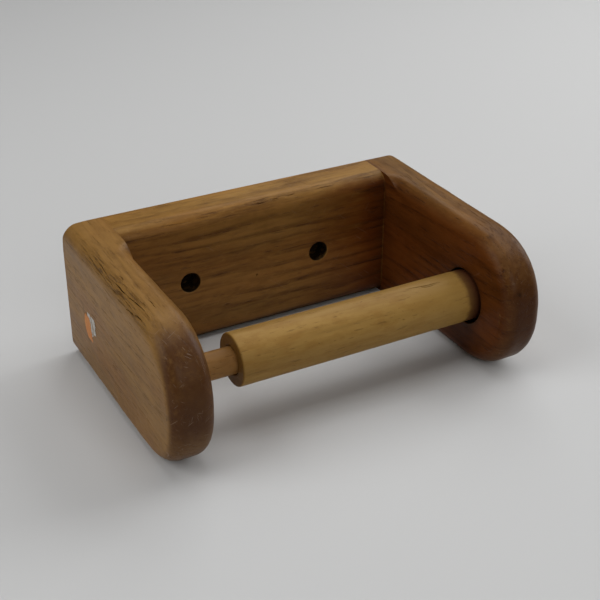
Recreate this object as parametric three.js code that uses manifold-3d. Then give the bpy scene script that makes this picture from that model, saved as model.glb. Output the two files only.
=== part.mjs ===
// Toilet paper holder: an oak back board between two round-nosed oak arms, joined by
// hidden dowels, and a two-piece sprung wooden roller. The thin plunger's tip sits in a
// small socket in the left arm and the thick sleeve's end in a large one in the right arm.
//
// Millimetres. The origin is the middle of the back (wall) face, +X to the right as the
// holder is faced, -Y out from the wall, +Z up.

import * as THREE from 'three';
import { mergeVertices } from 'three/addons/utils/BufferGeometryUtils.js';
import Module from 'manifold-3d';

// Boards
const HEIGHT = 63.5; // height of board and arms
const BOARD = 19.05; // thickness of every board
const ARM_GAP = 134.9; // clear distance between the arms
const ARM_DEPTH = 118.3; // wall to the tip of the nose
const NOSE_DEPTH = 33.2; // length of the rounded part of an arm
const NOSE_POWER = 2.25; // 2 is an ellipse; a little more gives a slightly full curve
const ROUND_OVER = 6.35; // quarter-round edge radius
const CUTTER = 12.7; // radius of the cutter that makes it, which shapes its run-in
const LEFT_FULL_Y = -39.0; // where the left arm's inner round-over reaches full depth
const RIGHT_FULL_Y = -33.5; // the same on the right arm

// Screw holes in the back board
const SCREW_X = [-35.0, 31.0];
const SCREW_Z = -0.5;
const COUNTERBORE_R = 4.76;
const COUNTERBORE_DEPTH = 9.5;
const SCREW_R = 2.5;

// Joint dowels
const DOWEL_R = 4.0;
const DOWEL_Z = [15.0, -15.0];
const DOWEL_Y = -BOARD / 2;
const DOWEL_IN_BOARD = 18.0;
const DOWEL_IN_ARM = 12.0;
const GLUE_GAP = 0.3;

// Roller, along X
const ROLLER_Y = -85.1;
const ROLLER_Z = -1.5;
const SLEEVE_R = 11.5;
const SLEEVE_LEFT = -46.5;
const SLEEVE_EDGE = 0.6;
const BORE_R = 6.2;
const BORE_END = 20.0;
const PLUNGER_R = 5.9;
const PLUNGER_EDGE = 0.8;
const PLUNGER_RIGHT = -16.0;
const ROLLER_REACH = 75.5; // distance of both roller ends from the middle
const SOCKET_DEPTH = 8.5;
const LEFT_SOCKET = { radius: 6.5, y: ROLLER_Y, z: ROLLER_Z };
const RIGHT_SOCKET = { radius: 12.7, y: -85.6, z: -1.8 }; // the sleeve sits a little off centre

// Spring behind the plunger
const COIL_R = 4.7;
const WIRE_R = 0.425;
const CLOSED_TURNS = 1.25; // turns lying close at each end
const OPEN_TURNS = 10.5;
const CLOSED_PITCH = 1.05;
const SPRING_GAP = 0.3;

// Paper sticker remnant on the left arm
const LABEL_R = 8.0;
const LABEL_THICK = 0.2;
const LABEL_Y = -30.0;
const LABEL_Z = -4.3;

const INNER_X = ARM_GAP / 2;
const ARM_STEPS = 5; // segments across each quarter-round

const wasm = await Module();
wasm.setup();

// Merges shared corners, drops collapsed triangles and turns the faces outward.
function closedSolid(source) {
  const bare = source.index ? source.toNonIndexed() : source.clone();
  bare.deleteAttribute('normal');
  bare.deleteAttribute('uv');
  const merged = mergeVertices(bare, 1e-4);
  const position = merged.getAttribute('position');
  const index = merged.getIndex();
  const corners = [0, 1, 2].map(() => new THREE.Vector3());
  const faces = [];
  let volume = 0;
  for (let i = 0; i < index.count; i += 3) {
    const face = [index.getX(i), index.getX(i + 1), index.getX(i + 2)];
    if (new Set(face).size < 3) continue;
    corners.forEach((corner, k) => corner.fromBufferAttribute(position, face[k]));
    volume += corners[0].dot(corners[1].clone().cross(corners[2]));
    faces.push(face);
  }
  if (volume < 0) faces.forEach((face) => face.reverse());
  const geometry = new THREE.BufferGeometry();
  geometry.setAttribute('position', new THREE.BufferAttribute(position.array, 3));
  geometry.setIndex(faces.flat());
  return geometry;
}

function toManifold(geometry) {
  const vertProperties = new Float32Array(geometry.getAttribute('position').array);
  const triVerts = new Uint32Array(geometry.getIndex().array);
  return new wasm.Manifold(new wasm.Mesh({ numProp: 3, vertProperties, triVerts }));
}

function subtract(geometry, cutters) {
  let solid = toManifold(geometry);
  for (const cutter of cutters) solid = solid.subtract(toManifold(cutter));
  const mesh = solid.getMesh();
  const result = new THREE.BufferGeometry();
  result.setAttribute('position', new THREE.BufferAttribute(mesh.vertProperties, 3));
  result.setIndex(Array.from(mesh.triVerts));
  return closedSolid(result);
}

// Straight round bar along X from x0 to x1.
function barX(radius, x0, x1, y, z, sides) {
  const bar = new THREE.CylinderGeometry(radius, radius, x1 - x0, sides);
  bar.rotateZ(-Math.PI / 2);
  bar.translate((x0 + x1) / 2, y, z);
  return closedSolid(bar);
}

// Straight round bar along Y from y0 to y1.
function barY(radius, x, y0, y1, z, sides) {
  const bar = new THREE.CylinderGeometry(radius, radius, y1 - y0, sides);
  bar.translate(x, (y0 + y1) / 2, z);
  return closedSolid(bar);
}

// Solid of revolution about X from [x, radius] points that start and end on the axis.
function turned(profile, sides) {
  const points = profile.map(([x, radius]) => new THREE.Vector2(radius, x));
  const lathe = new THREE.LatheGeometry(points, sides);
  lathe.rotateZ(-Math.PI / 2);
  return closedSolid(lathe);
}

// Side view of an arm, from the top back corner round the nose to the bottom back
// corner: each station has its point and its outward normal in the YZ plane.
function armOutline(fullY) {
  const half = HEIGHT / 2;
  const noseY = -(ARM_DEPTH - NOSE_DEPTH);
  const runIn = Math.sqrt(CUTTER ** 2 - ROUND_OVER ** 2);
  const straight = [0];
  for (let i = 0; i <= 6; i += 1) straight.push(fullY + runIn * Math.cos((i * Math.PI) / 12));
  const top = straight.map((y) => ({ y, z: half, ny: 0, nz: 1 }));
  const nose = [];
  for (let i = 0; i <= 36; i += 1) {
    const turn = Math.PI / 2 - (i * Math.PI) / 36;
    const c = Math.max(Math.cos(turn), 0);
    const s = Math.sin(turn);
    const out = c ** (2 / NOSE_POWER);
    const up = Math.sign(s) * Math.abs(s) ** (2 / NOSE_POWER);
    const ny = -(out ** (NOSE_POWER - 1)) / NOSE_DEPTH;
    const nz = (Math.sign(up) * Math.abs(up) ** (NOSE_POWER - 1)) / half;
    const size = Math.hypot(ny, nz);
    nose.push({ y: noseY - NOSE_DEPTH * out, z: half * up, ny: ny / size, nz: nz / size });
  }
  const bottom = [...top].reverse().map(({ y }) => ({ y, z: -half, ny: 0, nz: -1 }));
  return [...top, ...nose, ...bottom];
}

// Section across an arm's edge as [distance from the inner face, inset] pairs. The inner
// quarter-round runs in along an arc of the cutter, so it is shallower behind fullY.
function armSection(station, fullY) {
  const behind = Math.max(0, station.y - fullY);
  const reach = Math.sqrt(Math.max(0, CUTTER ** 2 - behind ** 2));
  const width = Math.max(0, reach - (CUTTER - ROUND_OVER));
  const section = [];
  for (let i = 0; i <= ARM_STEPS; i += 1) {
    const u = width * (1 - Math.cos((i * Math.PI) / (2 * ARM_STEPS)));
    const radial = Math.hypot(u + CUTTER - ROUND_OVER, behind);
    const depth = Math.max(0, CUTTER - radial);
    section.push([u, ROUND_OVER - Math.sqrt(ROUND_OVER ** 2 - depth ** 2)]);
  }
  for (let i = 0; i <= ARM_STEPS; i += 1) {
    const turn = (i * Math.PI) / (2 * ARM_STEPS);
    const u = BOARD - ROUND_OVER * (1 - Math.sin(turn));
    section.push([u, ROUND_OVER * (1 - Math.cos(turn))]);
  }
  return section;
}

// A whole arm, side +1 for the right and -1 for the left.
function armSolid(side, fullY) {
  const outline = armOutline(fullY);
  const rings = outline.map((station) =>
    armSection(station, fullY).map(([u, inset]) => new THREE.Vector3(
      side * (INNER_X + u),
      station.y - inset * station.ny,
      station.z - inset * station.nz,
    )));
  const triangles = [];
  const addTriangle = (a, b, c) => triangles.push(...(side > 0 ? [a, b, c] : [a, c, b]));
  for (let i = 0; i + 1 < rings.length; i += 1) {
    for (let j = 0; j + 1 < rings[i].length; j += 1) {
      addTriangle(rings[i][j], rings[i + 1][j], rings[i + 1][j + 1]);
      addTriangle(rings[i][j], rings[i + 1][j + 1], rings[i][j + 1]);
    }
  }
  const addCap = (loop, flatten, outward) => {
    for (const [a, b, c] of THREE.ShapeUtils.triangulateShape(loop.map(flatten), [])) {
      const normal = loop[b].clone().sub(loop[a]).cross(loop[c].clone().sub(loop[a]));
      const flip = normal.dot(outward) < 0;
      triangles.push(loop[a], loop[flip ? c : b], loop[flip ? b : c]);
    }
  };
  const sideView = (p) => new THREE.Vector2(p.y, p.z);
  const backView = (p) => new THREE.Vector2(p.x, p.z);
  addCap(rings.map((ring) => ring[0]), sideView, new THREE.Vector3(-side, 0, 0));
  addCap(rings.map((ring) => ring.at(-1)), sideView, new THREE.Vector3(side, 0, 0));
  addCap([...rings[0], ...rings.at(-1).toReversed()], backView, new THREE.Vector3(0, 1, 0));
  return closedSolid(new THREE.BufferGeometry().setFromPoints(triangles));
}

function armWithHoles(side, fullY, socket) {
  const cut = (radius, depth, y, z) => {
    const ends = [side * (INNER_X - 1), side * (INNER_X + depth)].sort((a, b) => a - b);
    return barX(radius, ends[0], ends[1], y, z, 40);
  };
  const holes = DOWEL_Z.map((z) => cut(DOWEL_R + GLUE_GAP, DOWEL_IN_ARM + 0.5, DOWEL_Y, z));
  holes.push(cut(socket.radius, SOCKET_DEPTH, socket.y, socket.z));
  return subtract(armSolid(side, fullY), holes);
}

// Back board: both front edges are quarter-rounds for its whole length.
function boardWithHoles() {
  const half = HEIGHT / 2;
  const outline = new THREE.Shape();
  outline.moveTo(0, -half);
  outline.lineTo(0, half);
  outline.lineTo(-(BOARD - ROUND_OVER), half);
  outline.absarc(-(BOARD - ROUND_OVER), half - ROUND_OVER, ROUND_OVER, Math.PI / 2, Math.PI);
  outline.lineTo(-BOARD, -half + ROUND_OVER);
  outline.absarc(-(BOARD - ROUND_OVER), -half + ROUND_OVER, ROUND_OVER, Math.PI, 1.5 * Math.PI);
  const board = new THREE.ExtrudeGeometry(outline, {
    depth: ARM_GAP,
    bevelEnabled: false,
    curveSegments: 4,
  });
  // Shape x, shape y and depth become Y, Z and X.
  board.applyMatrix4(new THREE.Matrix4().makeBasis(
    new THREE.Vector3(0, 1, 0),
    new THREE.Vector3(0, 0, 1),
    new THREE.Vector3(1, 0, 0),
  ));
  board.translate(-INNER_X, 0, 0);
  const holes = [];
  for (const x of SCREW_X) {
    holes.push(barY(SCREW_R, x, -BOARD - 1, 1, SCREW_Z, 24));
    holes.push(barY(COUNTERBORE_R, x, -BOARD - 1, -BOARD + COUNTERBORE_DEPTH, SCREW_Z, 32));
  }
  for (const z of DOWEL_Z) {
    const depth = DOWEL_IN_BOARD + 0.5;
    const radius = DOWEL_R + GLUE_GAP;
    holes.push(barX(radius, -INNER_X - 1, -INNER_X + depth, DOWEL_Y, z, 32));
    holes.push(barX(radius, INNER_X - depth, INNER_X + 1, DOWEL_Y, z, 32));
  }
  return subtract(closedSolid(board), holes);
}

function dowelSolid() {
  const length = DOWEL_IN_BOARD + DOWEL_IN_ARM;
  const edge = 0.8;
  return turned([
    [0, 0],
    [0, DOWEL_R - edge],
    [edge, DOWEL_R],
    [length - edge, DOWEL_R],
    [length, DOWEL_R - edge],
    [length, 0],
  ], 24);
}

function sleeveSolid() {
  return turned([
    [BORE_END, 0],
    [BORE_END, BORE_R],
    [SLEEVE_LEFT, BORE_R],
    [SLEEVE_LEFT, SLEEVE_R - SLEEVE_EDGE],
    [SLEEVE_LEFT + SLEEVE_EDGE, SLEEVE_R],
    [ROLLER_REACH - SLEEVE_EDGE, SLEEVE_R],
    [ROLLER_REACH, SLEEVE_R - SLEEVE_EDGE],
    [ROLLER_REACH, 0],
  ], 40);
}

function plungerSolid() {
  return turned([
    [-ROLLER_REACH, 0],
    [-ROLLER_REACH, PLUNGER_R - PLUNGER_EDGE],
    [-ROLLER_REACH + PLUNGER_EDGE, PLUNGER_R],
    [PLUNGER_RIGHT - 0.4, PLUNGER_R],
    [PLUNGER_RIGHT, PLUNGER_R - 0.4],
    [PLUNGER_RIGHT, 0],
  ], 32);
}

// Compression coil about X with close turns at both ends.
class Coil extends THREE.Curve {
  constructor(start, end) {
    super();
    this.start = start + WIRE_R;
    this.turns = OPEN_TURNS + 2 * CLOSED_TURNS;
    const closed = 2 * CLOSED_TURNS * CLOSED_PITCH;
    this.openPitch = (end - start - 2 * WIRE_R - closed) / OPEN_TURNS;
  }

  getPoint(t, target = new THREE.Vector3()) {
    const turn = t * this.turns;
    const open = Math.min(Math.max(turn - CLOSED_TURNS, 0), OPEN_TURNS);
    const x = this.start + open * this.openPitch + (turn - open) * CLOSED_PITCH;
    const angle = turn * 2 * Math.PI;
    return target.set(x, COIL_R * Math.cos(angle), COIL_R * Math.sin(angle));
  }
}

function springSolid() {
  const section = new THREE.Shape();
  section.absarc(0, 0, WIRE_R, 0, 2 * Math.PI);
  const coil = new Coil(PLUNGER_RIGHT + SPRING_GAP, BORE_END - SPRING_GAP);
  return closedSolid(new THREE.ExtrudeGeometry(section, {
    extrudePath: coil,
    steps: Math.round(coil.turns * 10),
    curveSegments: 3,
  }));
}

function finish(color, roughness, metalness = 0) {
  return new THREE.MeshStandardMaterial({ color, roughness, metalness });
}

function named(name, geometry, material) {
  const mesh = new THREE.Mesh(geometry, material);
  mesh.name = name;
  return mesh;
}

const holder = new THREE.Group();
holder.add(named('back_board', boardWithHoles(), finish(0x6b4220, 0.42)));
const leftArm = armWithHoles(-1, LEFT_FULL_Y, LEFT_SOCKET);
const rightArm = armWithHoles(1, RIGHT_FULL_Y, RIGHT_SOCKET);
holder.add(named('left_arm', leftArm, finish(0x7d5730, 0.38)));
holder.add(named('right_arm', rightArm, finish(0x6e4524, 0.38)));

for (const [side, sideName] of [[-1, 'left'], [1, 'right']]) {
  for (const [z, zName] of [[DOWEL_Z[0], 'upper'], [DOWEL_Z[1], 'lower']]) {
    const dowel = named(`${sideName}_${zName}_dowel`, dowelSolid(), finish(0xcdb083, 0.7));
    const x = side < 0 ? -INNER_X - DOWEL_IN_ARM : INNER_X - DOWEL_IN_BOARD;
    dowel.position.set(x, DOWEL_Y, z);
    holder.add(dowel);
  }
}

const label = named(
  'paper_label',
  barX(LABEL_R, -LABEL_THICK, 0, 0, 0, 32),
  finish(0xd98a3d, 0.8),
);
label.position.set(-INNER_X - BOARD, LABEL_Y, LABEL_Z);
holder.add(label);

const roller = new THREE.Group();
roller.position.set(0, ROLLER_Y, ROLLER_Z);
roller.add(named('roller_sleeve', sleeveSolid(), finish(0xc39a5c, 0.5)));
roller.add(named('roller_plunger', plungerSolid(), finish(0xb28a50, 0.5)));
roller.add(named('roller_spring', springSolid(), finish(0xa9abad, 0.35, 1)));
holder.add(roller);

export default holder;
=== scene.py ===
import math

import bmesh
import bpy
import numpy as np
from mathutils import Matrix, Vector, noise


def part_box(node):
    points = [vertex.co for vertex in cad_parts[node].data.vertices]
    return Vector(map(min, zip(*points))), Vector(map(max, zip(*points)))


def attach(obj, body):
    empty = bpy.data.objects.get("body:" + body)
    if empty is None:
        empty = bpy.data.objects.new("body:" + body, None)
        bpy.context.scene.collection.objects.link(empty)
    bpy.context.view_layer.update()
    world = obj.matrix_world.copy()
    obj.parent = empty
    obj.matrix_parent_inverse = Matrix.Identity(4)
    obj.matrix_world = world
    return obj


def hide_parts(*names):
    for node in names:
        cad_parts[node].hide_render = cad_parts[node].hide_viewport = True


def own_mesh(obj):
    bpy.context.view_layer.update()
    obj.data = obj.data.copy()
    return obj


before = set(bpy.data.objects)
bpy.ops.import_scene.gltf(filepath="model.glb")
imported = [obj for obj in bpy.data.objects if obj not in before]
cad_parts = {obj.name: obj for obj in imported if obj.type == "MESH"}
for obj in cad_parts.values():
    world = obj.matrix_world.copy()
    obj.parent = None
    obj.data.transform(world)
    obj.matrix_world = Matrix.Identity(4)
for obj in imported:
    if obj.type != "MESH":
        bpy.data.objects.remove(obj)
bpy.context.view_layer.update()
MM = 0.001

# Sizes in millimetres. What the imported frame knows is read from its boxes.
ROUND_OVER = 6.35  # quarter-round edge radius
CUTTER = 12.7  # radius of the router cutter, which shapes the run-in of a round-over
NOSE_DEPTH = 33.2  # how far an arm's nose reaches in front of its straight edges
NOSE_POWER = 2.25  # 2 would be an ellipse, and a higher power is squarer
SCREW_X = (-35.0, 31.0)
SCREW_Z = -0.5
SCREW_HOLE_R = 2.5
COUNTERBORE_R = 4.76
COUNTERBORE_DEPTH = 9.5
DOWEL_R = 4.3
DOWEL_Z = (15.0, -15.0)
DOWEL_IN_ARM = 12.5  # depth of the dowel holes
DOWEL_IN_BOARD = 18.5
SOCKET_DEPTH = 8.5
LEFT_SOCKET = (6.5, -85.1, -1.5)  # radius, y, z
RIGHT_SOCKET = (12.7, -86.1, -1.2)
PLUNGER_R = 5.9
BORE_R = 6.2
BORE_END = 20.0  # x where the sleeve's bore ends
COIL_R = 4.7  # from the spring's axis to the middle of its wire
WIRE_R = 0.425
GRID = 0.8  # spacing of the fine meshes
UNEVENNESS = 0.16  # of a hand-finished surface

# By side, -1 for the left arm and +1 for the right one.
FULL_Y = {-1: -39.0, 1: -33.5}  # where the inner round-over reaches its full depth
SANDED = {-1: 2.4, 1: 5.5}  # how far the run-in has been softened by hand


def box_mm(node):
    """The lowest and highest corners of a CAD node."""
    low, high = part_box(node)
    return np.array(low) / MM, np.array(high) / MM


BOARD_LOW, BOARD_HIGH = box_mm("back_board")
SLEEVE_LOW, SLEEVE_HIGH = box_mm("roller_sleeve")
PLUNGER_LOW, PLUNGER_HIGH = box_mm("roller_plunger")
SPRING_LOW, SPRING_HIGH = box_mm("roller_spring")
LABEL_LOW, LABEL_HIGH = box_mm("paper_label")
INNER_X = BOARD_HIGH[0]
THICK = BOARD_HIGH[1] - BOARD_LOW[1]
HALF = BOARD_HIGH[2]
ARM_DEPTH = -box_mm("left_arm")[0][1]
NOSE_Y = NOSE_DEPTH - ARM_DEPTH
FLOOR_Z = BOARD_LOW[2]
ROLLER_Y = (SLEEVE_LOW[1] + SLEEVE_HIGH[1]) / 2
ROLLER_Z = (SLEEVE_LOW[2] + SLEEVE_HIGH[2]) / 2
SLEEVE_R = (SLEEVE_HIGH[2] - SLEEVE_LOW[2]) / 2


# ---------------------------------------------------------------- meshes


def fractal(x, y, z):
    """Smooth fixed unevenness of about -1 to 1, with three octaves of detail."""
    return noise.fractal(Vector((x, y, z)), 0.9, 2.0, 3)


def link(name, data):
    """A new object in the scene that holds data: a mesh, a light or a camera."""
    obj = bpy.data.objects.new(name, data)
    bpy.context.scene.collection.objects.link(obj)
    return obj


def make_object(name, verts, faces):
    """An object from vertices in millimetres, with its doubles merged and faces outward."""
    mesh = bpy.data.meshes.new(name)
    mesh.from_pydata([tuple(v) for v in np.asarray(verts) * MM], [], faces)
    work = bmesh.new()
    work.from_mesh(mesh)
    bmesh.ops.remove_doubles(work, verts=work.verts, dist=2e-6)
    bmesh.ops.dissolve_degenerate(work, edges=work.edges, dist=1e-7)
    bmesh.ops.recalc_face_normals(work, faces=work.faces)
    work.to_mesh(mesh)
    work.free()
    return link(name, mesh)


def smooth(obj, degrees=35):
    """Smooth shading, with a crease where faces meet at more than the angle."""
    obj.data.polygons.foreach_set("use_smooth", [True] * len(obj.data.polygons))
    obj.data.set_sharp_from_angle(angle=math.radians(degrees))


def grid_faces(rows, columns, start=0, wrap=False):
    """Quads over a grid of vertices; wrap joins the last column to the first."""
    faces = []
    for i in range(rows - 1):
        for j in range(columns if wrap else columns - 1):
            k = (j + 1) % columns
            a, b = start + i * columns, start + (i + 1) * columns
            faces.append((a + j, b + j, b + k, a + k))
    return faces


def cut(obj, cutters):
    """Takes the cutters, which don't touch each other, out of obj and deletes them."""
    work = bmesh.new()
    for cutter in cutters:
        work.from_mesh(cutter.data)
        bpy.data.objects.remove(cutter)
    tool_mesh = bpy.data.meshes.new("tool")
    work.to_mesh(tool_mesh)
    work.free()
    tool = link("tool", tool_mesh)
    modifier = obj.modifiers.new("cut", "BOOLEAN")
    modifier.operation = "DIFFERENCE"
    modifier.solver = "EXACT"
    modifier.object = tool
    evaluated = obj.evaluated_get(bpy.context.evaluated_depsgraph_get())
    result = bpy.data.meshes.new_from_object(evaluated)
    obj.modifiers.clear()
    obj.data = result
    bpy.data.objects.remove(tool)


def turned(name, profile, sides=96, centre=(0.0, 0.0), wobble=0.0):
    """A solid of revolution about X. profile is (x, radius) from axis to axis."""
    angles = np.linspace(0, 2 * math.pi, sides, endpoint=False)
    verts = []
    for x, radius in profile:
        for angle in angles:
            y, z = math.cos(angle), math.sin(angle)
            r = radius
            if wobble and radius > 0.5:
                r += wobble * fractal(x * 0.035, y * 0.8, z * 0.8)
            verts.append((x, centre[0] + r * y, centre[1] + r * z))
    return make_object(name, verts, grid_faces(len(profile), sides, wrap=True))


def dense(profile, step):
    """The same profile with no segment longer than step."""
    out = [profile[0]]
    for (x0, r0), (x1, r1) in zip(profile, profile[1:]):
        parts = max(1, math.ceil(math.hypot(x1 - x0, r1 - r0) / step))
        for i in range(1, parts + 1):
            t = i / parts
            out.append((x0 + (x1 - x0) * t, r0 + (r1 - r0) * t))
    return out


def arc(x, r, radius, start, end, steps=6):
    """Profile points on a circle about (x, r), angles in degrees from +x towards +r."""
    turns = np.radians(np.linspace(start, end, steps))
    return [(x + radius * math.cos(a), r + radius * math.sin(a)) for a in turns]


def hole_x(face_x, side, radius, depth, y, z, lip=0.0):
    """Cutter for a blind hole whose mouth is at face_x and which runs towards side."""
    profile = [(-1.0, 0.0), (-1.0, radius + lip)]
    if lip:
        profile += [(0.0, radius + lip), (lip, radius)]
    profile += [(depth, radius), (depth, 0.0)]
    points = [(face_x + side * x, r) for x, r in profile]
    return turned("hole", points, sides=64, centre=(y, z))


def hole_y(x, z, profile):
    """Cutter along +Y from the board's front; profile is (distance behind it, radius)."""
    cutter = turned("hole", profile, sides=64)
    turn = Matrix.Translation((x * MM, -THICK * MM, z * MM)) @ Matrix.Rotation(math.pi / 2, 4, "Z")
    cutter.data.transform(turn)
    return cutter


def arm_outline():
    """Side view of an arm from the top back corner round the nose to the bottom one:
    rows of y, z and the outward normal's y and z."""
    half_way = np.linspace(0, math.pi / 2, 61)
    out = np.cos(half_way[::-1]) ** (2 / NOSE_POWER)
    up = np.sin(half_way[::-1]) ** (2 / NOSE_POWER)
    ny = -(out ** (NOSE_POWER - 1)) / NOSE_DEPTH
    nz = up ** (NOSE_POWER - 1) / HALF
    size = np.hypot(ny, nz)
    nose = np.stack([NOSE_Y - NOSE_DEPTH * out, HALF * up, ny / size, nz / size], 1)
    straight_y = np.linspace(0, NOSE_Y, round(-NOSE_Y / GRID) + 1)[:-1]
    ones = np.ones_like(straight_y)
    straight = np.stack([straight_y, HALF * ones, 0 * ones, ones], 1)
    top = np.concatenate([straight, nose])
    bottom = top[-2::-1] * (1, -1, 1, -1)
    return np.concatenate([top, bottom])


def arm_section(y, full_y, sanded, steps=9, across=8):
    """Across an arm's edge: rows of the distance from the inner face and the inset."""
    behind = math.hypot(max(0.0, y - full_y), sanded) - sanded
    reach = math.sqrt(max(0.0, CUTTER**2 - behind**2))
    width = max(0.0, reach - (CUTTER - ROUND_OVER))
    rows = []
    for turn in np.linspace(0, math.pi / 2, steps + 1):
        u = width * (1 - math.cos(turn))
        depth = max(0.0, CUTTER - math.hypot(u + CUTTER - ROUND_OVER, behind))
        rows.append((u, ROUND_OVER - math.sqrt(ROUND_OVER**2 - depth**2)))
    flat = THICK - ROUND_OVER
    for k in range(1, across):
        rows.append((rows[steps][0] + (flat - rows[steps][0]) * k / across, 0.0))
    for turn in np.linspace(0, math.pi / 2, steps + 1):
        rows.append((flat + ROUND_OVER * math.sin(turn), ROUND_OVER * (1 - math.cos(turn))))
    return np.array(rows)


def arm_mesh(name, side, seed):
    """A whole arm; side is +1 for the right and -1 for the left."""
    rings = []
    for y, z, ny, nz in arm_outline():
        rows = arm_section(y, FULL_Y[side], SANDED[side])
        x = side * (INNER_X + rows[:, 0])
        rings.append(np.stack([x, y - rows[:, 1] * ny, z - rows[:, 1] * nz], 1))
    rings = np.array(rings)
    count, across = rings.shape[:2]
    verts = [rings.reshape(-1, 3)]
    faces = grid_faces(count, across)
    total = count * across
    tip = (count - 1) // 2
    rows = round(2 * HALF / GRID)
    share = np.linspace(0, 1, rows + 1)[None, :, None]
    for j in (0, across - 1):
        upper = rings[: tip + 1, j][:, None]
        lower = rings[::-1][: tip + 1, j][:, None]
        verts.append((upper * (1 - share) + lower * share).reshape(-1, 3))
        faces += grid_faces(tip + 1, rows + 1, start=total)
        total += (tip + 1) * (rows + 1)
    back = rings[0][:, None] * (1 - share) + rings[-1][:, None] * share
    verts.append(back.reshape(-1, 3))
    faces += grid_faces(across, rows + 1, start=total)
    obj = make_object(name, np.concatenate(verts), faces)
    roughen(obj, seed, still=lambda p: p[1] > -1.0 or (p[1] > -THICK and abs(p[0]) < INNER_X + 1))
    if side < 0:  # the top back corner is worn down
        corner = Vector((-INNER_X - THICK, 0.0, HALF))
        for vertex in obj.data.vertices:
            near = max(0.0, 1 - (vertex.co / MM - corner).length / 14.0)
            vertex.co += Vector((0.7, 0.0, -0.9)) * near**2 * MM
    return obj


def roughen(obj, seed, still):
    """Small hand-worked unevenness along the normals, none on the flat underside or where
    still(point in mm) is true."""
    mesh = obj.data
    normals = np.array([v.normal for v in mesh.vertices])
    for vertex, normal in zip(mesh.vertices, normals):
        p = vertex.co / MM
        if still(p) or normal[2] < -0.95:
            continue
        slow = fractal(p.x * 0.03 + seed, p.y * 0.03, p.z * 0.03)
        fast = fractal(p.x * 0.16, p.y * 0.16 + seed, p.z * 0.16)
        shift = UNEVENNESS * (slow + 0.35 * fast)
        vertex.co += Vector(normal * shift * MM)


def corner_lane(lane, middle, flat):
    """Across a rounded edge: lane mm round from where the curve starts, negative on the
    flat before it. Gives the place, the way out and the way across, as (side, up) pairs."""
    turn = min(max(lane / ROUND_OVER, 0.0), math.pi / 2)
    out = np.array([math.sin(turn), math.cos(turn)])
    across = np.array([math.cos(turn), -math.sin(turn)])
    extra = min(lane, 0.0) + max(lane - ROUND_OVER * math.pi / 2, 0.0)
    return np.array([middle, flat]) + out * ROUND_OVER + across * extra, out, across


def left_edge(along, lane):
    """A place on the left arm's outer top edge, with the directions out and across."""
    place, out, across = corner_lane(lane, INNER_X + THICK - ROUND_OVER, HALF - ROUND_OVER)
    return [np.array([-s, y, u]) for (s, u), y in ((place, along), (out, 0.0), (across, 0.0))]


def board_edge(along, lane):
    """A place on the board's front top edge."""
    place, out, across = corner_lane(lane, THICK - ROUND_OVER, HALF - ROUND_OVER)
    return [np.array([x, -s, u]) for (s, u), x in ((place, along), (out, 0.0), (across, 0.0))]


def sleeve_side(along, lane):
    """A place on the sleeve, lane mm round from straight towards the wall, over the top."""
    turn = lane / SLEEVE_R
    out = np.array([0.0, math.cos(turn), math.sin(turn)])
    across = np.array([0.0, -math.sin(turn), math.cos(turn)])
    return np.array([along, ROLLER_Y, ROLLER_Z]) + SLEEVE_R * out, out, across


def crack_blade(surface, start, end, lane, drift, width, depth, seed):
    """Thin ragged wedge that opens a crack or a long pore in a surface."""
    steps = max(6, round(abs(end - start) / 0.6))
    verts = []
    for i in range(steps + 1):
        t = i / steps
        wander = 0.35 * fractal(seed, t * abs(end - start) * 0.16, 0)
        place, out, across = surface(start + (end - start) * t, lane + drift * t + wander)
        wide = width * (math.sin(math.pi * t) ** 0.6 + 0.02)
        wide *= 1 + 0.6 * fractal(t * abs(end - start) * 0.5, seed, 3)
        deep = depth * (math.sin(math.pi * t) ** 0.5 + 0.02)
        verts += [
            place + out * 0.6 + across * wide * 0.9,
            place + out * 0.6 - across * wide * 0.9,
            place - out * deep * 0.4 - across * wide * 0.4,
            place - out * deep,
            place - out * deep * 0.4 + across * wide * 0.4,
        ]
    faces = grid_faces(steps + 1, 5, wrap=True)
    faces += [(4, 3, 2, 1, 0), tuple(range(steps * 5, steps * 5 + 5))]
    return make_object("crack", verts, faces)


def pits(surface, rows, seed):
    """Cutters for rows of (start, end, lane, drift, width, depth)."""
    return [crack_blade(surface, *row, seed=seed + 7.0 * i) for i, row in enumerate(rows)]


def board_mesh():
    """The back board: a section in the YZ plane carried along X."""
    corner = np.linspace(0, math.pi / 2, 13)
    flat_y = ROUND_OVER - THICK
    top = [(y, HALF) for y in np.linspace(0, flat_y, 14)]
    curve = [
        (flat_y - ROUND_OVER * math.sin(a), HALF - ROUND_OVER * (1 - math.cos(a)))
        for a in corner[1:]
    ]
    front = [(-THICK, z) for z in np.linspace(HALF - ROUND_OVER, 0, 32)[1:]]
    upper = top + curve + front
    lower = [(y, -z) for y, z in upper[-2::-1]]
    back = [(0.0, z) for z in np.linspace(-HALF, HALF, 60)[1:-1]]
    section = upper + lower + back
    xs = np.linspace(-INNER_X, INNER_X, round(2 * INNER_X / GRID) + 1)
    verts = [(x, y, z) for x in xs for y, z in section]
    count = len(section)
    faces = grid_faces(len(xs), count, wrap=True)
    faces += [tuple(range(count)), tuple(range((len(xs) - 1) * count, len(xs) * count))]
    obj = make_object("board_oak", verts, faces)
    roughen(obj, 40.0, still=lambda p: p[1] > -1.0 or abs(p[0]) > INNER_X - 0.5)
    return obj


def paint(obj, name, value):
    """A number on each vertex, from value(point in mm, normal)."""
    layer = obj.data.attributes.new(name, "FLOAT", "POINT")
    values = [value(v.co / MM, v.normal) for v in obj.data.vertices]
    layer.data.foreach_set("value", np.clip(values, 0, 1).astype(np.float32))


def settle(obj, body, material, node):
    """Gives a finished piece its material and its body, and hides the CAD node that it stands for."""
    obj.data.materials.clear()
    obj.data.materials.append(material)
    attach(obj, body)
    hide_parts(node)


# ---------------------------------------------------------------- materials


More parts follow.
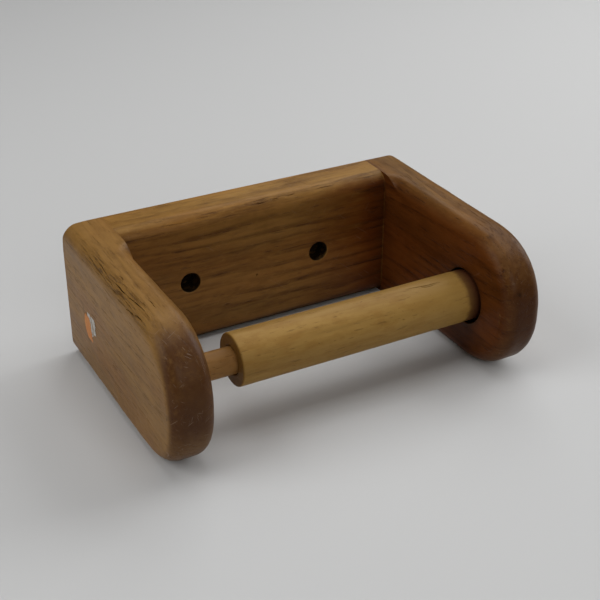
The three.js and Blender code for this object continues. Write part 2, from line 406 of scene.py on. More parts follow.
class Graph:
    """A material's node tree with short ways to add nodes."""

    def __init__(self, name):
        self.material = bpy.data.materials.new(name)
        self.material.use_nodes = True
        self.tree = self.material.node_tree
        self.tree.nodes.clear()
        self.shader = self.add("ShaderNodeBsdfPrincipled")
        output = self.add("ShaderNodeOutputMaterial")
        self.tree.links.new(self.shader.outputs[0], output.inputs["Surface"])

    def add(self, kind, **settings):
        node = self.tree.nodes.new(kind)
        for key, value in settings.items():
            setattr(node, key, value)
        return node

    def put(self, socket, value):
        """Links another node's output to the socket, or sets it to a constant."""
        if isinstance(value, bpy.types.NodeSocket):
            self.tree.links.new(value, socket)
        else:
            socket.default_value = value

    def math(self, operation, a, b=0.0, c=0.0, clamp=False):
        node = self.add("ShaderNodeMath", operation=operation, use_clamp=clamp)
        for socket, value in zip(node.inputs, (a, b, c)):
            self.put(socket, value)
        return node.outputs[0]

    def range(self, value, low, high, to_low=0.0, to_high=1.0):
        """A soft step from to_low to to_high as value goes from low to high."""
        node = self.add("ShaderNodeMapRange", interpolation_type="SMOOTHSTEP")
        for socket, number in zip(node.inputs, (value, low, high, to_low, to_high)):
            self.put(socket, number)
        return node.outputs[0]

    def combine(self, x, y, z):
        node = self.add("ShaderNodeCombineXYZ")
        for socket, value in zip(node.inputs, (x, y, z)):
            self.put(socket, value)
        return node.outputs[0]

    def noise(self, vector, scale=1.0, detail=2.0, roughness=0.5):
        node = self.add("ShaderNodeTexNoise")
        self.put(node.inputs["Vector"], vector)
        for key, value in (("Scale", scale), ("Detail", detail), ("Roughness", roughness)):
            self.put(node.inputs[key], value)
        return node.outputs[0]

    def mix(self, factor, a, b, blend="MIX"):
        node = self.add("ShaderNodeMix", data_type="RGBA", blend_type=blend)
        self.put(node.inputs[0], factor)
        self.put(node.inputs[6], a)
        self.put(node.inputs[7], b)
        return node.outputs[2]

    def attribute(self, name):
        return self.add("ShaderNodeAttribute", attribute_name=name).outputs["Fac"]

    def bump(self, height, distance, strength=1.0):
        node = self.add("ShaderNodeBump")
        self.put(node.inputs["Strength"], strength)
        self.put(node.inputs["Distance"], distance)
        self.put(node.inputs["Height"], height)
        self.tree.links.new(node.outputs[0], self.shader.inputs["Normal"])

    def set(self, **values):
        for key, value in values.items():
            self.put(self.shader.inputs[key.replace("_", " ")], value)


def colour(r, g, b):
    """Linear colour from sRGB numbers of 0 to 255."""
    parts = [c / 255 for c in (r, g, b)]
    linear = [c / 12.92 if c <= 0.04045 else ((c + 0.055) / 1.055) ** 2.4 for c in parts]
    return (*linear, 1.0)


def grain_coordinates(graph, along, seed):
    """Object coordinates in millimetres as two across the grain and one along it."""
    position = graph.add("ShaderNodeTexCoord").outputs["Object"]
    split = graph.add("ShaderNodeSeparateXYZ")
    graph.put(split.inputs[0], position)
    order = {"X": (1, 2, 0), "Y": (0, 2, 1)}[along]
    a, b, g = (graph.math("MULTIPLY_ADD", split.outputs[i], 1000.0, seed) for i in order)
    return a, b, g


def stretched(graph, a, b, g, across, along):
    """The grain coordinates scaled, so that noise on them runs long with the grain."""
    return graph.combine(
        graph.math("MULTIPLY", a, across),
        graph.math("MULTIPLY", b, across),
        graph.math("MULTIPLY", g, along),
    )


def tinted(base, red, green, blue):
    """The base colour with each channel multiplied."""
    return (base[0] * red, base[1] * green, base[2] * blue, 1.0)


def oak(name, along, seed, pith, base, roughness=0.4, spacing=3.1, lines=0.5, figure=1.0,
        wave=2.2, shine=0.14):
    """Oak under old satin varnish: soft growth lines, short dark pores and fine fibres.
    base is its linear colour, which the grain darkens and lightens."""
    light, dark = tinted(base, 1.36, 1.38, 1.42), tinted(base, 0.50, 0.42, 0.34)
    red, deep = tinted(base, 1.04, 0.86, 0.66), tinted(base, 0.22, 0.15, 0.1)
    graph = Graph(name)
    a, b, g = grain_coordinates(graph, along, seed)

    # Growth rings about the pith, each with a porous early band that comes and goes.
    warp = graph.noise(stretched(graph, a, b, g, 0.035, 0.008), detail=2.0)
    ripple = graph.noise(stretched(graph, a, b, g, 0.2, 0.02), detail=3.0)
    da = graph.math("SUBTRACT", a, pith[0] + seed)
    db = graph.math("SUBTRACT", b, pith[1] + seed)
    squared = graph.math("ADD", graph.math("MULTIPLY", da, da), graph.math("MULTIPLY", db, db))
    radius = graph.math("MULTIPLY_ADD", warp, 15.0, graph.math("SQRT", squared))
    radius = graph.math("MULTIPLY_ADD", ripple, wave, radius)
    ring = graph.math("FRACT", graph.math("DIVIDE", radius, spacing))
    early = graph.math(
        "MULTIPLY", graph.range(ring, 0.0, 0.12), graph.range(ring, 0.2, 0.62, 1.0, 0.0)
    )
    patch = graph.noise(stretched(graph, a, b, g, 0.13, 0.016), detail=2.0)
    early = graph.math("MULTIPLY", early, graph.range(patch, 0.4, 0.62, 0.25, 1.0))

    band = graph.noise(stretched(graph, a, b, g, 0.07, 0.007), detail=3.0, roughness=0.55)
    warm = graph.noise(stretched(graph, a, b, g, 0.05, 0.012), detail=2.0)
    streak = graph.noise(stretched(graph, a, b, g, 0.6, 0.02), detail=4.0, roughness=0.6)
    fibre = graph.noise(stretched(graph, a, b, g, 2.4, 0.07), detail=3.0, roughness=0.6)
    pore = graph.noise(stretched(graph, a, b, g, 1.5, 0.1), detail=2.0, roughness=0.6)
    threshold = graph.math("MULTIPLY_ADD", early, -0.1, 0.655)
    pores = graph.range(graph.math("SUBTRACT", pore, threshold), 0.0, 0.06)
    tick = graph.noise(stretched(graph, a, b, g, 0.62, 0.05), detail=2.0, roughness=0.55)
    ticks = graph.range(tick, 0.665, 0.72)

    wood = graph.mix(graph.range(band, 0.3, 0.7), tinted(base, 0.84, 0.82, 0.8), light)
    wood = graph.mix(graph.range(warm, 0.4, 0.7, 0.0, 0.7), wood, red)
    wood = graph.mix(graph.math("MULTIPLY", early, lines), wood, dark)
    wood = graph.mix(graph.range(streak, 0.46, 0.74, 0.0, 0.5 * figure), wood, dark)
    wood = graph.mix(graph.range(fibre, 0.45, 0.7, 0.0, 0.3), wood, light)
    wood = graph.mix(graph.math("MULTIPLY", pores, 0.5 * figure), wood, deep)
    wood = graph.mix(graph.math("MULTIPLY", ticks, 0.5 * figure), wood, deep)

    # Cloudy patches and pale flecks in the old varnish.
    cloud = graph.noise(stretched(graph, a, b, g, 0.3, 0.1), detail=4.0, roughness=0.65)
    fleck = graph.noise(stretched(graph, a, b, g, 1.1, 0.3), detail=3.0, roughness=0.6)
    wood = graph.mix(graph.range(cloud, 0.5, 0.66, 0.0, 0.3), wood, dark)
    wood = graph.mix(graph.range(cloud, 0.34, 0.48, 0.3, 0.0), wood, light)
    wood = graph.mix(graph.range(fleck, 0.58, 0.7, 0.0, 0.35), wood, light)

    # Raised, split grain where the wood has dried out.
    check = graph.noise(stretched(graph, a, b, g, 0.85, 0.07), detail=4.0, roughness=0.65)
    checks = graph.math("MULTIPLY", graph.range(check, 0.53, 0.63), graph.attribute("checked"))
    ridges = graph.math("MULTIPLY", graph.range(check, 0.34, 0.46, 1.0, 0.0),
                        graph.attribute("checked"))
    wood = graph.mix(graph.math("MULTIPLY", checks, 0.6), wood, deep)
    wood = graph.mix(graph.math("MULTIPLY", ridges, 0.45), wood, light)

    # Varnish gone amber, with painted shade on faces turned from the light, and end grain that has
    # drunk more of it.
    wood = graph.mix(graph.attribute("amber_and_shade"), wood, (0.43, 0.195, 0.075, 1.0), "MULTIPLY")
    wood = graph.mix(graph.math("MULTIPLY", graph.attribute("end"), 0.85), wood,
                     tinted(base, 0.22, 0.11, 0.07))
    # Painted shade, nearly black, in holes, corners and under edges, along with real dark marks and
    # lines.
    shade_and_dark_marks = graph.attribute("shade_and_dark_marks")
    wood = graph.mix(graph.math("MULTIPLY", shade_and_dark_marks, 0.95), wood, (0.003, 0.002, 0.001, 1.0))

    # Edges rubbed pale and hairline scratches in the varnish.
    rub = graph.noise(stretched(graph, a, b, g, 0.35, 0.22), detail=4.0, roughness=0.7)
    wear = graph.math("MULTIPLY", graph.attribute("wear"), graph.range(rub, 0.47, 0.68))
    wood = graph.mix(graph.math("MULTIPLY", wear, 0.25), wood, light)
    scratch = scratches(graph, a, b, g)
    wood = graph.mix(graph.math("MULTIPLY", scratch, 0.36), wood, (0.4, 0.3, 0.22, 1.0))

    gloss = graph.math("MULTIPLY_ADD", pores, 0.15, roughness)
    gloss = graph.math("MULTIPLY_ADD", graph.math("SUBTRACT", band, 0.5), 0.25, gloss)
    gloss = graph.math("MULTIPLY_ADD", wear, 0.1, gloss, clamp=True)
    height = graph.math("MULTIPLY", pores, -1.0)
    height = graph.math("MULTIPLY_ADD", ticks, -0.9, height)
    height = graph.math("MULTIPLY_ADD", early, -0.3, height)
    height = graph.math("MULTIPLY_ADD", streak, -0.5, height)
    height = graph.math("MULTIPLY_ADD", fibre, 0.2, height)
    height = graph.math("MULTIPLY_ADD", cloud, 0.9, height)
    height = graph.math("MULTIPLY_ADD", scratch, -0.4, height)
    height = graph.math("MULTIPLY_ADD", checks, -4.0, height)
    height = graph.math("MULTIPLY_ADD", ridges, 1.5, height)
    graph.bump(height, 0.00016, 0.7)
    graph.set(Base_Color=wood, Roughness=gloss, Coat_Weight=shine * 0.45, Coat_Roughness=0.27)
    graph.set(Specular_IOR_Level=shine)
    return graph.material


def scratches(graph, a, b, g):
    """Short straight hairlines in the varnish, in four directions and in patches."""
    patch = graph.noise(stretched(graph, a, b, g, 0.14, 0.14), detail=2.0)
    through = graph.range(patch, 0.48, 0.6)
    total = 0.0
    for turn, tilt in ((0.3, 0.4), (1.2, -0.5), (2.1, 0.9), (2.8, -1.1)):
        across = graph.math("MULTIPLY", a, math.cos(turn) * 2.6)
        across = graph.math("MULTIPLY_ADD", b, math.sin(turn) * 2.6, across)
        across = graph.math("MULTIPLY_ADD", g, 1.6 * tilt, across)
        along = graph.math("MULTIPLY", a, -math.sin(turn) * 0.17)
        along = graph.math("MULTIPLY_ADD", b, math.cos(turn) * 0.17, along)
        along = graph.math("MULTIPLY_ADD", g, 0.1, along)
        line = graph.noise(graph.combine(across, along, turn * 10.0), detail=0.0)
        total = graph.math("ADD", graph.range(line, 0.755, 0.79), total, clamp=True)
    return graph.math(
        "MULTIPLY", graph.math("MULTIPLY", total, through), graph.attribute("handled")
    )


def pale_wood(name, seed, base):
    """Close-grained pale hardwood of the roller, varnished and handled."""
    light, dark = tinted(base, 1.22, 1.24, 1.28), tinted(base, 0.55, 0.48, 0.4)
    graph = Graph(name)
    a, b, g = grain_coordinates(graph, "X", seed)
    band = graph.noise(stretched(graph, a, b, g, 0.12, 0.012), detail=3.0, roughness=0.6)
    streak = graph.noise(stretched(graph, a, b, g, 0.5, 0.03), detail=4.0, roughness=0.62)
    mottle = graph.noise(stretched(graph, a, b, g, 0.22, 0.1), detail=3.0, roughness=0.6)
    fibre = graph.noise(stretched(graph, a, b, g, 2.4, 0.14), detail=2.0)
    dash = graph.noise(stretched(graph, a, b, g, 1.0, 0.13), detail=2.0, roughness=0.6)
    dashes = graph.range(dash, 0.63, 0.69)
    speck = graph.noise(stretched(graph, a, b, g, 1.3, 0.7), detail=2.0)
    specks = graph.range(speck, 0.68, 0.75)
    # Painted light: lighter towards the right, where the right arm shades the sleeve.
    pale = graph.range(graph.math("MULTIPLY_ADD", mottle, 8.0, g), seed + 24.0, seed + 58.0)
    wood = graph.mix(graph.range(band, 0.3, 0.7), tinted(base, 0.88, 0.86, 0.82), light)
    wood = graph.mix(graph.range(mottle, 0.42, 0.66, 0.0, 0.55), wood, tinted(base, 0.86, 0.74, 0.56))
    wood = graph.mix(graph.range(streak, 0.48, 0.75, 0.0, 0.3), wood, dark)
    wood = graph.mix(graph.range(fibre, 0.4, 0.7, 0.0, 0.25), wood, light)
    wood = graph.mix(graph.math("MULTIPLY", dashes, 0.55), wood, dark)
    wood = graph.mix(graph.math("MULTIPLY", specks, 0.7), wood, dark)
    wood = graph.mix(graph.math("MULTIPLY", pale, 0.45), wood, light)
    wood = graph.mix(graph.math("MULTIPLY", graph.attribute("end"), 0.55), wood, dark)
    # Darker near the arms, as the mask gives.
    darkening = graph.attribute("shade_and_dark_marks")
    wood = graph.mix(darkening, wood, colour(66, 30, 16))
    gloss = graph.math("MULTIPLY_ADD", graph.math("SUBTRACT", streak, 0.5), 0.3, 0.5)
    height = graph.math("MULTIPLY_ADD", dashes, -0.8, graph.math("MULTIPLY", fibre, 0.3))
    height = graph.math("MULTIPLY_ADD", mottle, 0.6, height)
    graph.bump(height, 0.00014, 0.7)
    graph.set(Base_Color=wood, Roughness=gloss, Coat_Weight=0.04, Coat_Roughness=0.25)
    graph.set(Specular_IOR_Level=0.15)
    return graph.material


def steel():
    """Plain spring wire with dull spots."""
    graph = Graph("spring_wire")
    position = graph.add("ShaderNodeTexCoord").outputs["Object"]
    spots = graph.noise(position, scale=900.0, detail=3.0)
    base = graph.mix(graph.range(spots, 0.4, 0.7), (0.42, 0.42, 0.43, 1), (0.25, 0.22, 0.19, 1))
    graph.bump(spots, 0.00003)
    graph.set(Base_Color=base, Roughness=graph.range(spots, 0.3, 0.7, 0.28, 0.5), Metallic=1.0)
    return graph.material


def paper(name, tint, worn):
    """Matt printed paper, scuffed towards the worn colour."""
    graph = Graph(name)
    position = graph.add("ShaderNodeTexCoord").outputs["Object"]
    fibre = graph.noise(position, scale=1800.0, detail=4.0, roughness=0.7)
    scuff = graph.noise(position, scale=420.0, detail=4.0, roughness=0.7)
    base = graph.mix(graph.range(scuff, 0.45, 0.7, 0.0, 0.7), tint, worn)
    base = graph.mix(graph.range(fibre, 0.4, 0.7, 0.0, 0.2), base, worn)
    graph.bump(fibre, 0.00004)
    graph.set(Base_Color=base, Roughness=graph.range(scuff, 0.3, 0.7, 0.6, 0.85))
    return graph.material


# ---------------------------------------------------------------- camera, light, floor

CAMERA = Vector((-220.3, -461.2, 259.6)) * MM
TARGET = Vector((7.1, -44.9, -7.8)) * MM
ROLL = math.radians(0.15)  # the camera leans a little
back = (CAMERA - TARGET).normalized()
right = Vector((0, 0, 1)).cross(back).normalized()
up = back.cross(right)
right, up = (
    right * math.cos(ROLL) + up * math.sin(ROLL),
    up * math.cos(ROLL) - right * math.sin(ROLL),
)
camera_data = bpy.data.cameras.new("camera")
camera_data.lens = 72.15
camera_data.sensor_width = 36.0
camera = link("camera", camera_data)
camera.matrix_world = Matrix.Translation(CAMERA) @ Matrix((right, up, back)).transposed().to_4x4()
bpy.context.scene.camera = camera


LAMP_SIZE = 0.7  # metres, square
LAMP_AIM = Vector((0, -0.05, 0))
LIGHTS = (
    # name, place in metres, watts
    ("overhead", (0.0, -0.05, 1.2), 3.4),
    ("back_right", (0.62, 0.62, 0.85), 3.0),
    ("right_high", (0.9, 0.0, 0.85), 3.6),
    ("right_low", (1.1, 0.0, 0.45), 3.6),
    ("left_high", (-0.9, 0.0, 0.85), 4.6),
    ("left_low", (-1.2, 0.0, 0.3), 1.55),
    ("front", (0.0, -1.1, 0.65), 2.9),
)
for light_name, place, watts in LIGHTS:
    lamp_data = bpy.data.lights.new(light_name, "AREA")
    lamp_data.shape = "SQUARE"
    lamp_data.size = LAMP_SIZE
    lamp_data.energy = watts
    lamp = link(light_name, lamp_data)
    lamp.location = place
    lamp.rotation_euler = (LAMP_AIM - Vector(place)).to_track_quat("-Z", "Y").to_euler()

world = bpy.data.worlds.new("studio")
world.use_nodes = True
background = world.node_tree.nodes["Background"]
background.inputs["Color"].default_value = (1.0, 0.93, 0.86, 1.0)
background.inputs["Strength"].default_value = 0.05
bpy.context.scene.world = world
bpy.context.scene.view_settings.view_transform = "Standard"

floor_graph = Graph("floor_paint")
floor_graph.set(Base_Color=(0.6, 0.604, 0.604, 1.0), Roughness=0.75)
FLOOR_HALF = 4.0  # metres
corners = [(x * FLOOR_HALF, y * FLOOR_HALF, FLOOR_Z * MM)
           for x, y in ((-1, -1), (1, -1), (1, 1), (-1, 1))]
floor_mesh = bpy.data.meshes.new("floor")
floor_mesh.from_pydata(corners, [], [(0, 1, 2, 3)])
floor_mesh.materials.append(floor_graph.material)
floor = link("floor", floor_mesh)


# ---------------------------------------------------------------- arms

LEFT_OAK = oak(
    "oak_left", "Y", 11.0, (-58.0, 34.0), (0.222, 0.116, 0.031), roughness=0.42,
    lines=0.15, figure=0.62, wave=4.5, shine=0.12)
RIGHT_OAK = oak(
    "oak_right", "Y", 57.0, (38.0, 70.0), (0.187, 0.094, 0.026), roughness=0.38,
    spacing=4.3, lines=0.6, wave=5.0, shine=0.08)
BOARD_OAK = oak(
    "oak_board", "X", 23.0, (34.0, -46.0), (0.258, 0.135, 0.032), roughness=0.42,
    spacing=4.0, lines=0.75, wave=4.5, shine=0.11)


def edge_wear(p, normal):
    """Most on the round-overs of the nose, a little on every rounded edge."""
    rounded = 1 - max(abs(normal.x), abs(normal.y), abs(normal.z))
    forward = min(1.0, max(0.0, (-p.y - 55) / 45))
    return rounded * 2.2 * (0.35 + 0.65 * forward)


def left_end_grain(p, normal):
    """End grain shows with a crisp border on the left nose, less where it faces up."""
    facing = -normal.y * (1 - 0.15 * max(0.0, normal.z)) + 0.05 * fractal(p.x * 0.2, p.z * 0.2, 0)
    t = min(1.0, max(0.0, (facing - 0.1) / 0.4))
    return t * t * (3 - 2 * t) * (1 - 0.3 * min(1.0, max(0.0, (-p.z - 4.0) / 14.0)))


def left_checks(p, normal):
    """The split band along the left arm's outer top edge."""
    if p.x > -INNER_X - 8.0:
        return 0.0
    turn = math.atan2(-normal.x, max(normal.z, 1e-6)) / (math.pi / 2)
    across = max(0.0, 1 - abs(turn - 0.42) / 0.42)
    length = min(1.0, max(0.0, (-p.y - 14) / 20)) * min(1.0, max(0.0, (99 + p.y) / 14))
    return min(1.0, 1.6 * across) * length


NOSE_PIT = Vector((73.9, -116.5, 12.3))
SMUDGES = ((-15.1, 16.3), (-21.6, 1.8))  # y, z


def arm_shade_and_marks(p, normal):
    """Painted shade in and round each socket, a dark pit on the right arm's nose, and smudges on the
    left arm's outer face.
    """
    radius, y, z = LEFT_SOCKET if p.x < 0 else RIGHT_SOCKET
    away = math.hypot(p.y - y, p.z - z) - radius
    deep = abs(p.x) - INNER_X
    # Painted shade inside the socket and round its mouth.
    if away < 0.1 and 0.15 < deep < SOCKET_DEPTH + 0.2:
        return 1.0
    if deep < 0.5:
        return max(0.0, 1 - abs(away) / 2.2) * 0.35
    if p.x > 0:
        return 0.75 * math.exp(-(p - NOSE_PIT).length_squared / 0.9)
    if normal.x < -0.9:
        return sum(0.3 * math.exp(-math.hypot(p.y - my, (p.z - mz) / 2) ** 2) for my, mz in SMUDGES)
    return 0.0


def finish_arm(obj, material, node, end, amber_and_shade, handling):
    """Paints what both arms have in common and settles the arm."""
    paint(obj, "end", end)
    # The amber mask carries varnish tone together with painted shade.
    paint(obj, "amber_and_shade", amber_and_shade)
    paint(obj, "wear", edge_wear)
    paint(obj, "handled", lambda p, n: handling * min(1.0, max(0.0, (-p.y - 84) / 24)))
    paint(obj, "checked", left_checks)
    paint(obj, "shade_and_dark_marks", arm_shade_and_marks)
    smooth(obj)
    settle(obj, "holder", material, node)


def arm_holes(side, socket):
    """Cutters for an arm's two dowel holes and its socket."""
    face = side * INNER_X
    radius, y, z = socket
    holes = [hole_x(face, side, DOWEL_R, DOWEL_IN_ARM, -THICK / 2, level) for level in DOWEL_Z]
    holes.append(hole_x(face, side, radius, SOCKET_DEPTH, y, z, lip=0.3))
    return holes


LEFT_CRACKS = (
    # start y, end y, lane, drift, width, depth
    (-20.0, -27.0, 4.2, 0.2, 0.16, 0.5),
    (-27.0, -40.0, 4.8, 0.5, 0.24, 0.9),
    (-30.0, -37.0, 3.4, 0.2, 0.16, 0.5),
    (-37.5, -49.0, 3.5, 0.4, 0.26, 0.9),
    (-41.0, -52.0, 5.6, 0.4, 0.2, 0.7),
    (-50.0, -58.5, 5.0, 0.3, 0.18, 0.6),
    (-55.0, -59.0, 0.5, 0.0, 0.28, 0.6),
    (-57.5, -70.0, 3.8, -0.2, 0.34, 1.8),
    (-61.0, -66.0, 1.4, 0.0, 0.2, 0.6),
    (-66.0, -74.0, 7.4, -0.4, 0.28, 0.9),
    (-69.5, -86.5, 3.4, -1.4, 0.3, 1.5),
    (-71.0, -79.0, 5.4, 0.0, 0.2, 0.7),
    (-73.5, -84.5, 7.2, -0.9, 0.32, 1.0),
    (-78.0, -86.0, -2.3, 0.1, 0.3, 1.0),
    (-79.5, -83.0, 0.4, 0.0, 0.2, 0.6),
    (-82.5, -90.0, 5.9, -0.4, 0.42, 1.1),
    (-87.0, -92.0, 2.4, 0.0, 0.18, 0.6),
)
left_arm = arm_mesh("left_arm_oak", -1, 3.0)
cut(left_arm, arm_holes(-1, LEFT_SOCKET) + pits(left_edge, LEFT_CRACKS, 2.0))
# The left arm's inner face gets a little painted shade.
finish_arm(left_arm, LEFT_OAK, "left_arm", left_end_grain,
           amber_and_shade=lambda p, n: 0.1 * max(0.0, n.x), handling=0.8)


def right_amber_and_shade(p, normal):
    """Painted shade on the inner face between the arms, and darker and redder towards the nose."""
    forward = min(1.0, max(0.0, (-p.y - 60) / 40))
    return max(0.9 * max(0.0, -normal.x), 0.3 * forward)


right_arm = arm_mesh("right_arm_oak", 1, 71.0)
cut(right_arm, arm_holes(1, RIGHT_SOCKET))
finish_arm(right_arm, RIGHT_OAK, "right_arm", lambda p, n: max(0.0, -n.y),
           amber_and_shade=right_amber_and_shade, handling=0.25)


# ---------------------------------------------------------------- board

RIM = 0.3  # chamfer round the counterbore's mouth
SCREW_PROFILE = (
    (-1.0, 0.0), (-1.0, COUNTERBORE_R + RIM), (0.0, COUNTERBORE_R + RIM),
    (RIM, COUNTERBORE_R), (COUNTERBORE_DEPTH - 0.5, COUNTERBORE_R),
    (COUNTERBORE_DEPTH, COUNTERBORE_R - 0.36), (COUNTERBORE_DEPTH, SCREW_HOLE_R),
    (THICK + 1.0, SCREW_HOLE_R), (THICK + 1.0, 0.0),
)
PIN_PRICK_X, PIN_PRICK_Z = -1.6, -4.9
PIN_PRICK = ((-0.5, 0.0), (-0.5, 0.55), (0.9, 0.45), (1.2, 0.0))
BOARD_PORES = (
    # start x, end x, lane, drift, width, depth
    (-48.0, -33.0, 5.4, 0.6, 0.16, 0.25),
    (-0.5, 4.0, 4.6, 0.0, 0.38, 0.5),
    (6.5, 11.5, 3.8, 0.1, 0.34, 0.45),
    (15.0, 20.0, 3.8, 0.0, 0.3, 0.4),
    (31.0, 41.0, 4.0, -0.4, 0.26, 0.35),
)
board = board_mesh()
cutters = [hole_y(x, SCREW_Z, SCREW_PROFILE) for x in SCREW_X]
cutters.append(hole_y(PIN_PRICK_X, PIN_PRICK_Z, PIN_PRICK))
cutters += pits(board_edge, BOARD_PORES, 60.0)
for z in DOWEL_Z:
    for side in (-1, 1):
        cutters.append(hole_x(side * INNER_X, -side, DOWEL_R, DOWEL_IN_BOARD, -THICK / 2, z))
cut(board, cutters)


def hole_distance(p):
    """From a point to the axis of the nearer screw hole."""
    return min(math.hypot(p.x - x, p.z - SCREW_Z) for x in SCREW_X)


DARK_LINES = (
    # start x, end x, z at the start, z at the end, half width, strength
    (-52.0, 18.0, 11.2, 9.2, 0.7, 0.5),
    (-20.0, 40.0, 1.8, 4.6, 0.5, 0.3),
    (-60.0, -22.0, 4.4, 5.0, 0.5, 0.35),
    (2.0, 58.0, -8.6, -6.0, 0.6, 0.4),
    (-58.0, -8.0, -12.5, -13.6, 0.5, 0.35),
    (-30.0, 30.0, -20.2, -18.6, 0.6, 0.4),
)


def board_lines(p):
    """Dark wandering growth lines across the board's front."""
    dark = 0.0
    for x0, x1, z0, z1, half, strength in DARK_LINES:
        t = (p.x - x0) / (x1 - x0)
        if 0 < t < 1:
            z = z0 + (z1 - z0) * t + 1.3 * fractal(p.x * 0.05, z0, 2.0)
            wide = half * (1 + 0.8 * fractal(p.x * 0.15, z0, 5.0))
            fade = min(1.0, 6 * t, 6 * (1 - t))
            dark = max(dark, strength * fade * max(0.0, 1 - abs(p.z - z) / max(wide, 0.3)))
    return dark


def board_shade_and_lines(p, normal):
    """Painted shade in the screw holes, in the corner by the right arm and on the lower edge, and
    dark growth lines on the front.
    """
    inside = hole_distance(p) < 5.2 and -THICK + 0.2 < p.y < -0.5
    corner = min(1.0, max(0.0, (p.x - 50.0) / 17.0)) * max(0.0, -normal.y)
    under = min(1.0, max(0.0, (-normal.z - 0.25) / 0.5)) if p.y < -2 else 0.0
    if inside:
        return 1.0
    return max(0.42 * corner**1.5, 0.8 * under, board_lines(p) * max(0.0, -normal.y))


def board_front_shade(p, normal):
    """Painted shade on the front, which faces away from the light, with a ragged upper border, most
    by the right arm.
    """
    right = min(1.0, max(0.0, (p.x - 18.0) / 42.0))
    left = min(1.0, max(0.0, (-p.x - 10.0) / 40.0))
    facing = -normal.y + 0.22 * fractal(p.x * 0.05, p.z * 0.45, 7.0)
    t = min(1.0, max(0.0, (facing - 0.45) / 0.5))
    return t * (0.31 + 0.66 * right + 0.14 * left)


def board_wear(p, normal):
    """On the rounded edges and round the mouths of the screw holes."""
    return max(edge_wear(p, normal), 1.2 - abs(hole_distance(p) - 4.5) / 1.6)


paint(board, "amber_and_shade", board_front_shade)
paint(board, "wear", board_wear)
paint(board, "handled", lambda p, n: 0.2)
paint(board, "shade_and_dark_marks", board_shade_and_lines)
smooth(board)
settle(board, "holder", BOARD_OAK, "back_board")


# ---------------------------------------------------------------- roller

SLEEVE_WOOD = pale_wood("sleeve_wood", 5.0, (0.292, 0.167, 0.041))
PLUNGER_WOOD = pale_wood("plunger_wood", 83.0, (0.245, 0.122, 0.034))
centre = (ROLLER_Y, ROLLER_Z)
left_end, right_end = SLEEVE_LOW[0], SLEEVE_HIGH[0]
sleeve_profile = [(BORE_END, 0.0), (BORE_END, BORE_R), (left_end + 0.4, BORE_R)]
sleeve_profile += [(left_end, BORE_R + 0.4)]
sleeve_profile += arc(left_end + 0.7, SLEEVE_R - 0.7, 0.7, 180, 90)
sleeve_profile += arc(right_end - 0.7, SLEEVE_R - 0.7, 0.7, 90, 0)
sleeve_profile += [(right_end, 0.0)]
sleeve = turned("sleeve_wood", dense(sleeve_profile, 1.2), 112, centre, wobble=0.07)
SLEEVE_PITS = (
    # start x, end x, lane, drift, width, depth
    (36.0, 54.0, 19.0, 1.6, 0.4, 1.1),
    (42.0, 51.0, 20.7, 0.4, 0.3, 0.7),
    (28.8, 29.9, 32.5, 0.0, 0.42, 0.5),
    (24.4, 26.0, 20.0, 0.2, 0.3, 0.4),
    (-12.2, -10.8, 32.3, 0.0, 0.3, 0.4),
)
DARKER_FROM_X = 62.3  # x where the sleeve turns dark near the arm
cut(sleeve, pits(sleeve_side, SLEEVE_PITS, 90.0))


def sleeve_right_darkening(p, normal):
    """Darker towards the end by the right arm's socket, with a ragged border."""
    ragged = DARKER_FROM_X + 0.9 * fractal(p.y * 0.35, p.z * 0.35, 1.0)
    edge = min(1.0, max(0.0, (p.x - ragged) / 1.6))
    return edge * (0.58 + 0.38 * min(1.0, max(0.0, (p.x - DARKER_FROM_X) / 5.0)))


paint(sleeve, "end", lambda p, n: abs(n.x) ** 2)
paint(sleeve, "shade_and_dark_marks", sleeve_right_darkening)
smooth(sleeve)
settle(sleeve, "roller", SLEEVE_WOOD, "roller_sleeve")

tip, rear = PLUNGER_LOW[0], PLUNGER_HIGH[0]
plunger_profile = [(tip, 0.0)] + arc(tip + 0.8, PLUNGER_R - 0.8, 0.8, 180, 90)
plunger_profile += arc(rear - 0.4, PLUNGER_R - 0.4, 0.4, 90, 0) + [(rear, 0.0)]
plunger = turned("plunger_wood", dense(plunger_profile, 1.2), 80, centre, wobble=0.04)
paint(plunger, "end", lambda p, n: abs(n.x) ** 2)
# Darker towards the plunger's left end.
paint(plunger, "shade_and_dark_marks", lambda p, n: max(0.0, (-p.x - 62.0) / 14.0) * 0.4)
smooth(plunger)
settle(plunger, "plunger", PLUNGER_WOOD, "roller_plunger")


def spring_mesh():
    """A compression spring with its end turns closed."""
    closed, turns_open = 1.25, 10.5  # turns at each end, and between them
    pitch = 1.05  # of the closed turns
    turns = turns_open + 2 * closed
    length = SPRING_HIGH[0] - SPRING_LOW[0] - 2 * WIRE_R
    open_pitch = (length - 2 * closed * pitch) / turns_open
    steps, sides = round(turns * 40), 12
    verts = []
    for i in range(steps + 1):
        turn = turns * i / steps
        spread = min(max(turn - closed, 0), turns_open)
        x = SPRING_LOW[0] + WIRE_R + spread * open_pitch + (turn - spread) * pitch
        angle = turn * 2 * math.pi
        out = np.array([0.0, math.cos(angle), math.sin(angle)])
        middle = np.array([x, ROLLER_Y, ROLLER_Z]) + COIL_R * out
        for k in range(sides):
            a = 2 * math.pi * k / sides
            verts.append(middle + WIRE_R * (math.cos(a) * out + math.sin(a) * np.array([1, 0, 0])))
    faces = grid_faces(steps + 1, sides, wrap=True)
    faces += [tuple(range(sides)), tuple(range(steps * sides, (steps + 1) * sides))]
    return make_object("spring_coil", verts, faces)


spring = spring_mesh()
smooth(spring, 60)
settle(spring, "roller", steel(), "roller_spring")
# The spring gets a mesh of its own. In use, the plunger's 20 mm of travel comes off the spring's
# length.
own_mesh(spring)


# ---------------------------------------------------------------- paper sticker remnant

label_y = (LABEL_LOW[1] + LABEL_HIGH[1]) / 2
label_z = (LABEL_LOW[2] + LABEL_HIGH[2]) / 2
label_r = (LABEL_HIGH[2] - LABEL_LOW[2]) / 2
face_x = LABEL_HIGH[0]


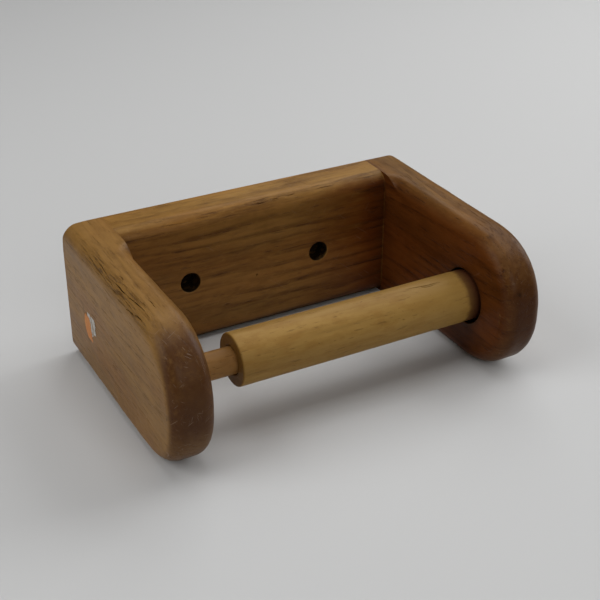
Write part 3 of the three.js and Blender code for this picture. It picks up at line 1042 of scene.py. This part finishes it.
def torn_sheet(name, inside, lift, thick, seed):
    """A thin piece of the round sticker: the cells where inside(y, z) is true, raised off
    the wood by lift(y, z)."""
    count = 44  # cells across the sticker
    step = 2 * label_r / count
    keep = {}
    verts, faces = [], []

    def corner(i, j, top):
        key = (i, j, top)
        if key not in keep:
            y, z = (i - count / 2) * step, (j - count / 2) * step
            y += 0.25 * step * fractal(i * 0.9, j * 0.9, seed)
            z += 0.25 * step * fractal(j * 0.9, seed, i * 0.9)
            height = lift(y, z) + (thick if top else 0.0)
            keep[key] = len(verts)
            verts.append((face_x - 0.01 - height, label_y + y, label_z + z))
        return keep[key]

    def has(i, j):
        y, z = (i + 0.5 - count / 2) * step, (j + 0.5 - count / 2) * step
        return math.hypot(y, z) < label_r - 0.1 and inside(y, z)

    for i in range(count):
        for j in range(count):
            if not has(i, j):
                continue
            square = [(i, j), (i + 1, j), (i + 1, j + 1), (i, j + 1)]
            faces.append([corner(*c, True) for c in square])
            faces.append([corner(*c, False) for c in reversed(square)])
            for (di, dj), (p, q) in zip(((0, -1), (1, 0), (0, 1), (-1, 0)),
                                        zip(square, square[1:] + square[:1])):
                if not has(i + di, j + dj):
                    faces.append([corner(*p, True), corner(*p, False),
                                  corner(*q, False), corner(*q, True)])
    return make_object(name, verts, faces)


def tear(y, seed):
    """How far a torn edge wanders."""
    return 1.3 * fractal(y * 0.35, seed, 0.0) + 0.5 * fractal(y * 1.4, seed, 4.0)


orange = torn_sheet(
    "label_orange",
    lambda y, z: -6.6 < z < 4.4 + tear(y, 8.0) and y > 0.3 + 0.2 * z + tear(z, 2.0),
    lambda y, z: 0.03 * (1 + fractal(y * 0.3, z * 0.3, 1.0)), 0.09, 1.0)
white = torn_sheet(
    "label_white",
    lambda y, z: (y < 0.2 + 0.2 * z + tear(z, 2.0) or z > 4.5 + tear(y, 8.0))
    and -3.6 - 0.5 * y + tear(y, 5.0) < z < 6.6 and -5.6 + tear(z, 7.0) < y < 3.5
    and abs(y + 2.2 - 0.05 * z * z) > 0.4,
    lambda y, z: 0.02 + 0.06 * max(0.0, -y / 6), 0.05, 3.0)
ORANGE_PAPER = paper("label_orange_ink", colour(196, 118, 52), colour(204, 156, 100))
WHITE_PAPER = paper("label_white_paper", colour(196, 192, 184), colour(140, 126, 106))
for piece, material in ((orange, ORANGE_PAPER), (white, WHITE_PAPER)):
    smooth(piece, 50)
    settle(piece, "holder", material, "paper_label")


# ---------------------------------------------------------------- dowels

DOWEL_WOOD = pale_wood("dowel_birch", 31.0, (0.6, 0.44, 0.24))
for side in ("left", "right"):
    for level in ("upper", "lower"):
        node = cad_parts[f"{side}_{level}_dowel"]
        node.data.materials.clear()
        node.data.materials.append(DOWEL_WOOD)
